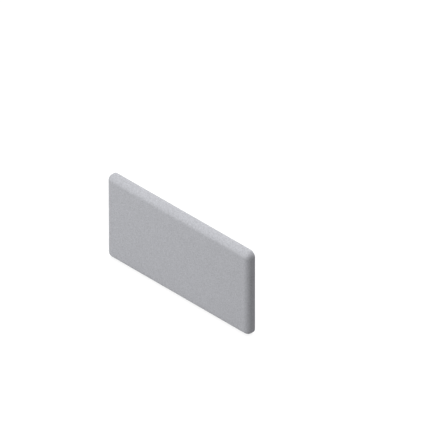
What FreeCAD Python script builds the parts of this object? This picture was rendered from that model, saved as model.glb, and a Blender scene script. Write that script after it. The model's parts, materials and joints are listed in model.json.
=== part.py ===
import FreeCAD, Part
import os

# Profile end cap: one moulding that closes the sawn end of an aluminium framing profile.
# Millimetres. The plate stands upright: X runs along its long side, Z up its short side, and Y
# points into the profile. The origin is the middle of the seat, the flat back that meets the
# profile's end, so the front face is at negative Y and the pegs are at positive Y.

# Plate. One radius rounds the four corners and the front edge, so each front corner is part of a ball.
cap_length = 90.0
cap_height = 45.0
cap_thickness = 4.5
edge_radius = 3.0
side_land = 0.5  # least flat side between the rounded front edge and the seat

# Recess in the back, with a rim round it and ribs across it
front_wall = 2.0
rim_width = 2.5
rib_thickness = 1.2
root_radius = 0.4  # where the rim and the ribs rise from the recess's floor

# Pegs that press into the profile's core bores
bore_radius = 5.0
bore_inset = 22.5  # from the profile's short side to the middle of a core bore
press_interference = 0.05
peg_length = 12.0
peg_wall = 1.5
shoulder_width = 1.5
lead_length = 1.0
lead_depth = 0.6
slot_width = 1.6
slot_floor = 3.0  # from the seat to the foot of the crossed slots that split a peg into four fingers
slot_turn = 45  # degrees between the slots and the ribs, so that a rib backs each finger

# Places worked out from the sizes above
front_face = -cap_thickness
recess_floor = front_wall - cap_thickness
peg_radius = bore_radius + press_interference
core_radius = peg_radius - peg_wall
shoulder_radius = peg_radius + shoulder_width
peg_places = [bore_inset - cap_length / 2, cap_length / 2 - bore_inset]
into_profile = FreeCAD.Vector(0, 1, 0)
full_turn = 360
same_place = 1e-6


def block(size_x, size_z, y_low, y_high, x=0.0):
    """A box between two depths, centred on x and on the plate's long middle line."""
    corner = FreeCAD.Vector(x - size_x / 2, y_low, -size_z / 2)
    return Part.makeBox(size_x, y_high - y_low, size_z, corner)


def post(radius, y_low, y_high, x):
    """A cylinder between two depths that points into the profile."""
    return Part.makeCylinder(radius, y_high - y_low, FreeCAD.Vector(x, y_low, 0), into_profile)


def edges_at(shape, y):
    """The edges that lie in the plane at one depth."""
    return [e for e in shape.Edges if abs(e.BoundBox.YMin - y) + abs(e.BoundBox.YMax - y) < same_place]


def rounded_plate():
    """The outside: a slab with rounded corners and a rounded front edge."""
    slab = block(cap_length, cap_height, front_face, 0)
    corners = [e for e in slab.Edges if abs(e.tangentAt(e.FirstParameter).y) > 1 - same_place]
    slab = slab.makeFillet(edge_radius, corners)
    front_radius = min(edge_radius, cap_thickness - side_land)
    return slab.makeFillet(front_radius, edges_at(slab, front_face))


def recess_cells():
    """The hollows in the back, between the rim, the ribs and the pegs' shoulders."""
    inside_length = cap_length - 2 * rim_width
    inside_height = cap_height - 2 * rim_width
    pocket = block(inside_length, inside_height, recess_floor, 0)
    long_rib = block(cap_length, rib_thickness, recess_floor, 0)
    cross_ribs = [block(rib_thickness, cap_height, recess_floor, 0, x) for x in [0.0] + peg_places]
    shoulders = [post(shoulder_radius, recess_floor, 0, x) for x in peg_places]
    cells = pocket.cut([long_rib] + cross_ribs + shoulders)
    return [cell.makeFillet(root_radius, edges_at(cell, recess_floor)) for cell in cells.Solids]


def peg(x):
    """One peg, solid, from the recess's floor to its tapered tip."""
    tip_radius = peg_radius - lead_depth
    outline = [
        (0, recess_floor),
        (peg_radius, recess_floor),
        (peg_radius, peg_length - lead_length),
        (tip_radius, peg_length),
        (0, peg_length),
        (0, recess_floor),
    ]
    wire = Part.makePolygon([FreeCAD.Vector(x + radius, y, 0) for radius, y in outline])
    return Part.Face(wire).revolve(FreeCAD.Vector(x, 0, 0), into_profile, full_turn)


def peg_cuts(x):
    """The peg's core hole and the crossed slots."""
    across = 2 * (peg_radius + slot_width)
    slots = block(across, slot_width, slot_floor, peg_length, x)
    slots = slots.fuse(block(slot_width, across, slot_floor, peg_length, x))
    slots.rotate(FreeCAD.Vector(x, 0, 0), into_profile, slot_turn)
    return [post(core_radius, recess_floor, peg_length, x), slots]


def end_cap():
    """The whole moulding."""
    cap = rounded_plate().cut(recess_cells())
    cap = cap.fuse([peg(x) for x in peg_places])
    cap = cap.cut([cut for x in peg_places for cut in peg_cuts(x)])
    return cap.removeSplitter()


os.makedirs("parts", exist_ok=True)
cap = end_cap()
cap.exportStep("parts/end_cap.step")
print("end_cap:", len(cap.Solids), "solid, valid", cap.isValid(), "volume", round(cap.Volume, 1), "mm3")
print("box:", cap.BoundBox)
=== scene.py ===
# %% [markdown]
# # A profile end cap
# An aluminium framing profile is sawn to length, and its open end is sharp. An end cap closes it: one
# injection moulding in light grey nylon, with a flat front, a rounded edge, and two pegs on its back that
# press into the round core bores of the profile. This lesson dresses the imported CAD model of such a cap.
# The model is loaded first, because every size and place below is measured from it.

import json
import math

import bmesh
import bpy
from mathutils import Matrix, Vector


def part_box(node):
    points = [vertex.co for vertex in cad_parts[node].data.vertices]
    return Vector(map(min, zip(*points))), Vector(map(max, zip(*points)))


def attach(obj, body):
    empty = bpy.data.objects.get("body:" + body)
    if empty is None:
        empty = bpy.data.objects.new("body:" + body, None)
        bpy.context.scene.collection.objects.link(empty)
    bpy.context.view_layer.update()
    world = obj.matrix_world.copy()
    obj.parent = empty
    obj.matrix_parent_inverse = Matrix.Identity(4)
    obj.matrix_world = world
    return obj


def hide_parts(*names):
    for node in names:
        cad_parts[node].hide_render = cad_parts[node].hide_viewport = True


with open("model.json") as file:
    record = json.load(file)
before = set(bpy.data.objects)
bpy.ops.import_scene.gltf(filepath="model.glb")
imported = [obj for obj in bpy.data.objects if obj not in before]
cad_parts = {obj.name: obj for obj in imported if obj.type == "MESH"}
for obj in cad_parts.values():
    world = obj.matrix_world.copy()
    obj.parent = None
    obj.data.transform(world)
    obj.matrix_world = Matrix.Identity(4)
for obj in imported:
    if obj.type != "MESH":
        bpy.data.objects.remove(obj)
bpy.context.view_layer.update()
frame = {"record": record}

# %% [markdown]
# ## The sizes
# The outside comes straight from the CAD box and from the mounts in the record: the front face is the
# lowest Y, the seat that meets the profile is Y = 0, and the tips of the pegs are the highest Y. The walls
# and radii inside that box are driving sizes of their own, as a designer would note them on a drawing.

# %% Sizes from the frame
mm = 0.001
low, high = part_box("end_cap")
cap_length = high.x - low.x
cap_height = high.z - low.z
front_face = low.y
seat = 0.0
peg_tip = high.y
mounts = {mount["name"]: mount for mount in frame["record"]["mounts"]}
pegs = [mounts["peg_left"], mounts["peg_right"]]
peg_places = [peg["pos_m"][0] for peg in pegs]
peg_radius = pegs[0]["dims"]["r_mm"] * mm
lead_start = seat + pegs[0]["dims"]["length_mm"] * mm

# %% Walls and radii
edge_radius = 3.0 * mm
front_wall = 2.0 * mm
rim_width = 2.5 * mm
rib_thickness = 1.2 * mm
root_radius = 0.4 * mm
peg_wall = 1.5 * mm
shoulder_width = 1.5 * mm
lead_depth = 0.6 * mm
slot_width = 1.6 * mm
slot_floor = 3.0 * mm
slot_turn = math.radians(45)
broken_edge = 0.12 * mm
recess_floor = front_face + front_wall
core_radius = peg_radius - peg_wall
shoulder_radius = peg_radius + shoulder_width
same_place = 0.001 * mm
print(f"plate {cap_length / mm:.1f} x {cap_height / mm:.1f} x {(seat - front_face) / mm:.1f} mm")
print(f"pegs at x = {[round(x / mm, 1) for x in peg_places]} mm, radius {peg_radius / mm:.2f} mm")

# %% [markdown]
# ## The plate
# The plate could be an extruded outline, but a box whose edges are bevelled is shorter and exact. When the
# four upright corners and the four front edges get the same offset in one bevel, Blender fills each front
# corner with part of a ball, as the cutter of the real mould leaves it. The back edge stays as it is,
# because it meets the profile. The outside and the back come from two halves of the mould with different
# finishes, so every shape gets both in its slots from the start, and a face keeps its number in the cuts.

# %% A box and a bevel
plate_steps = 12
core_side = 1
finishes = [bpy.data.materials.new(name) for name in ("nylon_grained", "nylon_ground")]


def block(size, centre):
    """A box as a bmesh, from its sizes along X, Y and Z and the place of its middle."""
    shape = bmesh.new()
    bmesh.ops.create_cube(shape, size=1.0)
    bmesh.ops.scale(shape, vec=size, verts=shape.verts)
    bmesh.ops.translate(shape, vec=centre, verts=shape.verts)
    return shape


def round_edges(shape, edges, radius, steps):
    """Bevels these edges to one radius."""
    bmesh.ops.bevel(
        shape,
        geom=edges,
        offset=radius,
        offset_type="OFFSET",
        segments=steps,
        profile=0.5,
        affect="EDGES",
        material=-1,
        clamp_overlap=False,
    )


def upright(edge):
    """Whether an edge runs through the thickness of the plate."""
    start, end = (vert.co for vert in edge.verts)
    return abs(end.y - start.y) > same_place and (end - start).cross(Vector((0, 1, 0))).length < same_place


def lies_at(edge, y):
    """Whether an edge lies in the plane at one depth."""
    return all(abs(vert.co.y - y) < same_place for vert in edge.verts)


def put_in_scene(shape, name, materials=finishes):
    """Turns a bmesh into an object, placed in its mesh. It gets both finishes unless told otherwise."""
    mesh = bpy.data.meshes.new(name)
    for material in materials:
        mesh.materials.append(material)
    shape.to_mesh(mesh)
    shape.free()
    piece = bpy.data.objects.new(name, mesh)
    bpy.context.scene.collection.objects.link(piece)
    return piece


# %% Round the plate
plate = block((cap_length, seat - front_face, cap_height), (0, (seat + front_face) / 2, 0))
back = max(plate.faces, key=lambda face: face.calc_center_median().y)
back.material_index = core_side
plate_edges = [edge for edge in plate.edges if upright(edge) or lies_at(edge, front_face)]
round_edges(plate, plate_edges, edge_radius, plate_steps)
print("plate:", len(plate.faces), "faces after the bevel")
moulding = put_in_scene(plate, "end_cap_moulding")

# %% [markdown]
# ## The recess
# A thick flat plate of nylon would sink and warp as it cools, so the back of such a cap is hollowed to an
# even wall. What is left is a rim, a few thin ribs, and a round shoulder under each peg. The hollows are
# the easy thing to model: a flat block, cut by the ribs and the shoulders into cells, whose edges are
# bevelled while they still stand out. Taken out of the plate, each cell leaves rounded roots behind it.

# %% Joining and cutting shapes
def combine(piece, tool, operation):
    """Cuts a tool out of a piece, or joins it on, and leaves plain mesh behind."""
    change = piece.modifiers.new(operation, "BOOLEAN")
    change.operation = operation
    change.solver = "EXACT"
    change.object = tool
    depsgraph = bpy.context.evaluated_depsgraph_get()
    made = bpy.data.meshes.new_from_object(piece.evaluated_get(depsgraph))
    piece.modifiers.clear()
    piece.data = made
    bpy.data.objects.remove(tool)


def post(radius, y_low, y_high, place, steps):
    """A cylinder as a bmesh, between two depths, that points into the profile. Its first facet faces +X."""
    shape = bmesh.new()
    half_facet = math.pi / steps
    middle = Matrix.Translation((place[0], (y_low + y_high) / 2, place[1]))
    into_profile = Matrix.Rotation(math.radians(90), 4, "X")
    bmesh.ops.create_cone(
        shape,
        cap_ends=True,
        segments=steps,
        radius1=radius,
        radius2=radius,
        depth=y_high - y_low,
        matrix=middle @ into_profile @ Matrix.Rotation(half_facet, 4, "Z"),
    )
    for face in shape.faces:
        face.material_index = core_side
    return shape


# %% The cells between the ribs
clear_of_seat = 1.0 * mm
root_steps = 4
round_steps = 56
cell_top = seat + clear_of_seat
cell_depth = cell_top - recess_floor
cell_middle = (cell_top + recess_floor) / 2
tool_depth = cell_depth + 2 * clear_of_seat
inside = (cap_length - 2 * rim_width, cell_depth, cap_height - 2 * rim_width)
cells = put_in_scene(block(inside, (0, cell_middle, 0)), "cells")
long_rib = block((cap_length, tool_depth, rib_thickness), (0, cell_middle, 0))
combine(cells, put_in_scene(long_rib, "rib"), "DIFFERENCE")
for x in [0.0] + peg_places:
    cross_rib = block((rib_thickness, tool_depth, cap_height), (x, cell_middle, 0))
    combine(cells, put_in_scene(cross_rib, "rib"), "DIFFERENCE")
for x in peg_places:
    depths = (recess_floor - clear_of_seat, cell_top + clear_of_seat)
    shoulder = post(shoulder_radius, *depths, (x, 0), round_steps)
    combine(cells, put_in_scene(shoulder, "shoulder"), "DIFFERENCE")
print(f"cells: {inside[0] / mm:.1f} x {inside[2] / mm:.1f} mm in all, {len(cells.data.polygons)} faces")

# %% Round the cells and take them out
sharp = math.radians(40)
rounded = bmesh.new()
rounded.from_mesh(cells.data)
bmesh.ops.remove_doubles(rounded, verts=rounded.verts, dist=same_place)
cell_edges = [
    edge
    for edge in rounded.edges
    if edge.calc_face_angle(0.0) > sharp and (upright(edge) or lies_at(edge, recess_floor))
]
round_edges(rounded, cell_edges, root_radius, root_steps)
for face in rounded.faces:
    face.material_index = core_side
rounded.to_mesh(cells.data)
rounded.free()
print("cells:", len(cells.data.polygons), "faces,", len(cell_edges), "edges rounded")
combine(moulding, cells, "DIFFERENCE")

# %% [markdown]
# ## The pegs
# Each peg is turned about its own axis, so a half outline spun through a full circle is the natural way to
# make it: up the wall, in along the lead that helps it find the bore, and across the tip. The core hole
# and the crossed slots are cut afterwards. They leave four fingers, which give a little as the peg is
# pressed home, and the slots stand at 45 degrees to the ribs so that a rib backs each finger.

# %% Spin the pegs
full_turn = 2 * math.pi
peg_root = 0.5 * mm
peg_foot = recess_floor - peg_root


def peg_shape(x):
    """One solid peg, from a little inside the front wall to its tapered tip."""
    shape = bmesh.new()
    outline = [
        (0, peg_foot),
        (peg_radius, peg_foot),
        (peg_radius, lead_start),
        (peg_radius - lead_depth, peg_tip),
        (0, peg_tip),
    ]
    verts = [shape.verts.new((x + radius, y, 0)) for radius, y in outline]
    edges = [shape.edges.new(pair) for pair in zip(verts, verts[1:])]
    bmesh.ops.spin(
        shape,
        geom=verts + edges,
        cent=(x, 0, 0),
        axis=(0, 1, 0),
        angle=full_turn,
        steps=round_steps,
        use_merge=True,
    )
    bmesh.ops.remove_doubles(shape, verts=shape.verts, dist=same_place)
    bmesh.ops.recalc_face_normals(shape, faces=shape.faces)
    for face in shape.faces:
        face.material_index = core_side
    return shape


def slot_shape(x, turn):
    """One straight slot across a peg."""
    reach = 2 * (peg_radius + slot_width)
    top = peg_tip + clear_of_seat
    shape = block((reach, top - slot_floor, slot_width), (x, (top + slot_floor) / 2, 0))
    bmesh.ops.rotate(shape, cent=(x, 0, 0), matrix=Matrix.Rotation(turn, 3, "Y"), verts=shape.verts)
    for face in shape.faces:
        face.material_index = core_side
    return shape


# %% Join the pegs and cut their slots
for x in peg_places:
    combine(moulding, put_in_scene(peg_shape(x), "peg"), "UNION")
    core_hole = post(core_radius, recess_floor, peg_tip + clear_of_seat, (x, 0), round_steps)
    for cutter in (core_hole, slot_shape(x, slot_turn), slot_shape(x, -slot_turn)):
        combine(moulding, put_in_scene(cutter, "cutter"), "DIFFERENCE")
print("moulding:", len(moulding.data.polygons), "faces with its pegs")

# %% [markdown]
# ## Broken edges and pin marks
# No moulded edge is perfectly sharp, and a bevel of a tenth of a millimetre catches the light as a real one
# does. The cuts have left needless points on flat faces, so these are dissolved first, and then only the
# edges that stand out are bevelled. A Bevel modifier would round the inner corners as well, and a single
# short edge would make it shrink everywhere. The round marks of the ejector pins, which push the cap out of
# its mould, are so shallow that they are cut last.

# %% Tidy the mesh
flat = math.radians(0.5)
tidy = bmesh.new()
tidy.from_mesh(moulding.data)
bmesh.ops.remove_doubles(tidy, verts=tidy.verts, dist=same_place)
bmesh.ops.dissolve_limit(tidy, angle_limit=flat, verts=tidy.verts, edges=tidy.edges, delimit={"MATERIAL"})
print("moulding:", len(tidy.faces), "faces once tidy")

# %% Break the edges that stand out
broken_steps = 2
standing_out = [edge for edge in tidy.edges if edge.is_convex and edge.calc_face_angle(0.0) > sharp]
shortest = min(edge.calc_length() for edge in standing_out)
round_edges(tidy, standing_out, broken_edge, broken_steps)
tidy.to_mesh(moulding.data)
tidy.free()
print(f"{len(standing_out)} edges broken, the shortest is {shortest / mm:.3f} mm long")

# %% Ejector pin marks
pin_radius = 2.0 * mm
pin_depth = 0.15 * mm
pin_steps = 40
pin_rise = (cap_height / 2 - rim_width) / 2
inner_pin = 11.25 * mm
outer_pin = 33.0 * mm
pin_places = [-outer_pin, -inner_pin, inner_pin, outer_pin]
for x in pin_places:
    for z in (-pin_rise, pin_rise):
        pin = post(pin_radius, recess_floor - pin_depth, recess_floor + clear_of_seat, (x, z), pin_steps)
        combine(moulding, put_in_scene(pin, "pin"), "DIFFERENCE")
moulding.data.shade_smooth()
flat_faces = moulding.modifiers.new("flat faces", "WEIGHTED_NORMAL")
flat_faces.keep_sharp = True
print("moulding:", len(moulding.data.polygons), "faces with its pin marks")

# %% [markdown]
# ## Shader maths
# A procedural material is a formula for each point of a surface. Written as nodes it sprawls, so one small
# class wraps a socket and lets Python's own operators add the Math nodes, and one method adds any other
# node. The two classes hold no look of their own: the recipes below do.

# %% Sockets with operators
class Reading:
    """A number that varies over a surface, held in the output socket of a node."""

    def __init__(self, recipe, socket):
        self.recipe = recipe
        self.socket = socket

    def other(self, name):
        """Another output of the same node."""
        return Reading(self.recipe, self.socket.node.outputs[name])

    def maths(self, operation, first, second):
        """A Math node that combines two values."""
        return self.recipe.node("ShaderNodeMath", {"operation": operation}, {0: first, 1: second})

    def __add__(self, other):
        return self.maths("ADD", self, other)

    def __sub__(self, other):
        return self.maths("SUBTRACT", self, other)

    def __rsub__(self, other):
        return self.maths("SUBTRACT", other, self)

    def __mul__(self, other):
        return self.maths("MULTIPLY", self, other)

    __radd__ = __add__
    __rmul__ = __mul__


class Recipe:
    """A node tree that is being filled."""

    def __init__(self, owner):
        owner.use_nodes = True
        self.tree = owner.node_tree
        self.tree.nodes.clear()

    def node(self, kind, settings, values):
        """Adds a node: its settings first, then a value or a link for each socket that is named."""
        made = self.tree.nodes.new(kind)
        for name, setting in settings.items():
            setattr(made, name, setting)
        shown = [socket for socket in made.inputs if socket.enabled]
        for key, value in values.items():
            socket = shown[key] if isinstance(key, int) else next(s for s in shown if s.name == key)
            if isinstance(value, Reading):
                self.tree.links.new(value.socket, socket)
            else:
                socket.default_value = value
        given = [socket for socket in made.outputs if socket.enabled]
        return Reading(self, given[0]) if given else None


# %% [markdown]
# ## Moulded nylon
# The show faces of such a cap copy a spark-eroded mould: a fine, even, matt grain with no direction. Close
# up it is a field of soft pits half a millimetre across, and from a step away only a sandy speckle is
# left. A picture of grain would show a seam at the rounded edge, so noise in the object's own coordinates
# is used: coarse pebbles carry the speckle, and fine pits carry most of the relief. The speckle is partly
# random tone and partly painted shade: the nylon is darker where the pebbles sink and lighter where they
# rise. Noise is weak where a flat face lies along its lattice, so a Mapping node turns the lattice. The
# core side of the mould is only ground smooth, so the back of the cap is plainer and shinier.

# %% Colours and noise
record_slot = "grey_nylon"
slots = {material["slot"]: material for material in frame["record"]["materials"]}
nylon = slots[record_slot]["base_color"][:3]
pebble_size = 0.62 * mm
pit_size = 0.45 * mm
cloud_size = 14 * mm
noise_roughness = 0.65
pebble_detail = 5.0
cloud_detail = 1.0
tone_range = 0.3
halfway = 0.5
pebble_height = 0.2
pit_height = 0.8
roughness_range = 0.1
nylon_ior = 1.53
lattice_turn = (0.6, 0.4, 0.9)
print("nylon colour, linear:", nylon)


def shade(brightness):
    """The nylon colour made lighter or darker, with its alpha."""
    return tuple(channel * brightness for channel in nylon) + (1.0,)


def noise(recipe, place, size, detail):
    """Noise from 0 to 1. Its largest features are about one size, and detail adds finer ones."""
    values = {"Vector": place, "Scale": 1 / size, "Detail": detail, "Roughness": noise_roughness}
    return recipe.node("ShaderNodeTexNoise", {"noise_dimensions": "3D"}, values)


# %% Nylon as a mould leaves it
def moulded(finish, speckle_and_hollow_shade, clouding, roughness, relief):
    """Gives nylon its grain. The speckle is random tone plus painted shade in the grain's low spots,
    clouding varies the lightness at random, and relief is the grain's depth.
    """
    recipe = Recipe(finish)
    straight = recipe.node("ShaderNodeTexCoord", {}, {}).other("Object")
    place = recipe.node("ShaderNodeMapping", {}, {"Vector": straight, "Rotation": lattice_turn})
    pebbles = noise(recipe, place, pebble_size, pebble_detail)
    clouds = noise(recipe, place, cloud_size, cloud_detail)
    spacing = {"Vector": place, "Scale": 1 / pit_size, "Smoothness": 1.0, "Randomness": 1.0}
    pits = recipe.node("ShaderNodeTexVoronoi", {"feature": "SMOOTH_F1"}, spacing)
    # The pebbles also raise the surface, so this tone is random and also painted shade, darker in the
    # grain's low spots.
    tone_and_hollow_shade = halfway + speckle_and_hollow_shade * (pebbles - halfway) + clouding * (clouds - halfway)
    tones = {"Factor": tone_and_hollow_shade, "A": shade(1 - tone_range), "B": shade(1 + tone_range)}
    colour = recipe.node("ShaderNodeMix", {"data_type": "RGBA", "clamp_factor": True}, tones)
    height = pebble_height * pebbles + pit_height * pits
    bump = {"Height": height, "Strength": 1.0, "Distance": relief}
    surface = {
        "Base Color": colour,
        "Roughness": roughness + roughness_range * (pits - halfway),
        "IOR": nylon_ior,
        "Normal": recipe.node("ShaderNodeBump", {}, bump),
    }
    body = recipe.node("ShaderNodeBsdfPrincipled", {}, surface)
    recipe.node("ShaderNodeOutputMaterial", {}, {"Surface": body})


# %% Two finishes of one nylon
grained, ground = finishes
# Both finishes get the speckle of random tone and painted shade in the grain's low spots, which is weak on
# the ground back.
moulded(grained, speckle_and_hollow_shade=1.6, clouding=0.07, roughness=0.62, relief=0.08 * mm)
moulded(ground, speckle_and_hollow_shade=0.2, clouding=0.07, roughness=0.45, relief=0.01 * mm)
for number, finish in enumerate(finishes):
    share = sum(face.area for face in moulding.data.polygons if face.material_index == number)
    print(f"{finish.name}: {share / mm ** 2:.0f} square mm")

# %% [markdown]
# ## Light
# The cap is lit as for a catalogue, by soft square lamps in a pale room. The key is wide and hangs almost
# straight above, so the top is the lightest and its light wraps round the near corner. A low lamp in front
# and a little to the left lifts the front face and leaves the right-hand end in soft shade. It stands
# close, so the tone also falls off a little from left to right. A third lamp lights the back. Each lamp has
# a level: at 1, it alone would show a face turned to it in the colour as written. An area lamp needs a
# power of pi squared times its distance squared for that.

# %% Soft lamps
lamps = [
    {"name": "key", "turn": -90, "rise": 87, "distance": 0.90, "width": 0.64, "level": 0.77},
    {"name": "front_fill", "turn": -13, "rise": 6, "distance": 0.37, "width": 0.11, "level": 0.45},
    {"name": "back_fill", "turn": -160, "rise": 15, "distance": 0.70, "width": 0.34, "level": 0.5},
]
for lamp in lamps:
    turned, raised = math.radians(lamp["turn"]), math.radians(lamp["rise"])
    flat_reach = math.cos(raised)
    towards = Vector((math.sin(turned) * flat_reach, -math.cos(turned) * flat_reach, math.sin(raised)))
    light = bpy.data.lights.new(lamp["name"], "AREA")
    light.shape = "SQUARE"
    light.size = lamp["width"]
    light.energy = lamp["level"] * (math.pi * lamp["distance"]) ** 2
    holder = bpy.data.objects.new(lamp["name"], light)
    holder.location = towards * lamp["distance"]
    holder.rotation_euler = towards.to_track_quat("Z", "Y").to_euler()
    holder.visible_camera = False
    bpy.context.scene.collection.objects.link(holder)
    print(f"{lamp['name']}: {light.energy:.2f} W")

# %% [markdown]
# ## Room and floor
# A white room would light the cap from all sides and wash its shape out. So the world and the floor have
# two levels: white where the camera, a reflection or a transparent surface looks, and a lower one for the
# light that spreads from them. The floor is dull grey paint with a glow on top, which together come to
# white, so the shadow of the cap stays soft and faint.

# %% The two levels
white = 1.0
room_level = 0.256
floor_paint_tone = 0.2
floor_level = 0.1
floor_glow = 0.88


def grey(level):
    """A grey of one level, with its alpha."""
    return (level, level, level, 1.0)


def two_levels(recipe, spread, looked_at):
    """One grey for the light that spreads, and another where something looks."""
    rays = recipe.node("ShaderNodeLightPath", {}, {})
    looks = rays.other("Is Camera Ray") + rays.other("Is Glossy Ray") + rays.other("Is Transmission Ray")
    levels = {"Factor": looks, "A": grey(spread), "B": grey(looked_at)}
    return recipe.node("ShaderNodeMix", {"data_type": "RGBA"}, levels)


world = bpy.data.worlds.new("pale_room")
bpy.context.scene.world = world
room = Recipe(world)
room_light = room.node("ShaderNodeBackground", {}, {"Color": two_levels(room, room_level, white)})
room.node("ShaderNodeOutputWorld", {}, {"Surface": room_light})
print(f"room: {white} to look at, {room_level} for its light")

# %% Pale floor
floor_width = 6.0
paint = bpy.data.materials.new("pale_floor")
coat = Recipe(paint)
floor_surface = {
    "Base Color": grey(floor_paint_tone),
    "Roughness": 1.0,
    "Specular IOR Level": 0.0,
    "Emission Color": two_levels(coat, floor_level, floor_glow),
    "Emission Strength": 1.0,
}
floor_paint = coat.node("ShaderNodeBsdfPrincipled", {}, floor_surface)
coat.node("ShaderNodeOutputMaterial", {}, {"Surface": floor_paint})

floor_shape = bmesh.new()
bmesh.ops.create_grid(floor_shape, x_segments=1, y_segments=1, size=floor_width / 2)
bmesh.ops.translate(floor_shape, vec=(0, 0, low.z), verts=floor_shape.verts)
floor = put_in_scene(floor_shape, "floor", [paint])
print(f"floor: {floor_width} m wide, at {low.z / mm:.1f} mm")

# %% [markdown]
# ## Camera
# The picture is an isometric view, so the camera looks along the diagonal of a cube: 45 degrees round and
# 35.26 degrees up. A very long lens far away keeps the edges parallel, as in a drawing. The camera stands
# on that diagonal through the seat, and then turns by a tenth of a degree until the middle of the seat
# lies where the picture has it. Moving it sideways instead would make the near end of the cap look larger.

# %% Isometric camera
picture_side = 444
seat_in_picture = Vector((183.85, 252.1))
picture_scale = 2.231
lens = 1500.0
sensor = 36.0
view_depth = 4
turn = math.radians(45)
tilt = math.asin(1 / math.sqrt(3))
picture_width = picture_side / picture_scale * mm
distance = picture_width * lens / sensor
back_to_camera = Vector((math.sin(turn) * math.cos(tilt), -math.cos(turn) * math.cos(tilt), math.sin(tilt)))
facing = back_to_camera.to_track_quat("Z", "Y")
to_right = facing @ Vector((1, 0, 0))
to_top = facing @ Vector((0, 1, 0))
picture_middle = Vector((picture_side / 2, picture_side / 2))
offset = (picture_middle - seat_in_picture) / picture_scale * mm
aim = to_right * offset.x - to_top * offset.y

camera_data = bpy.data.cameras.new("camera")
camera_data.lens = lens
camera_data.sensor_width = sensor
camera_data.clip_end = view_depth * distance
camera = bpy.data.objects.new("camera", camera_data)
camera.location = back_to_camera * distance
camera.rotation_euler = (camera.location - aim).to_track_quat("Z", "Y").to_euler()
bpy.context.scene.collection.objects.link(camera)
bpy.context.scene.camera = camera
bpy.context.scene.view_settings.view_transform = "Standard"
print(f"camera {distance:.2f} m away, picture {picture_width / mm:.1f} mm wide")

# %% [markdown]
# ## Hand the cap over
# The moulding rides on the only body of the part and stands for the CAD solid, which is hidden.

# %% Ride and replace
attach(moulding, "root")
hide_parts("end_cap")
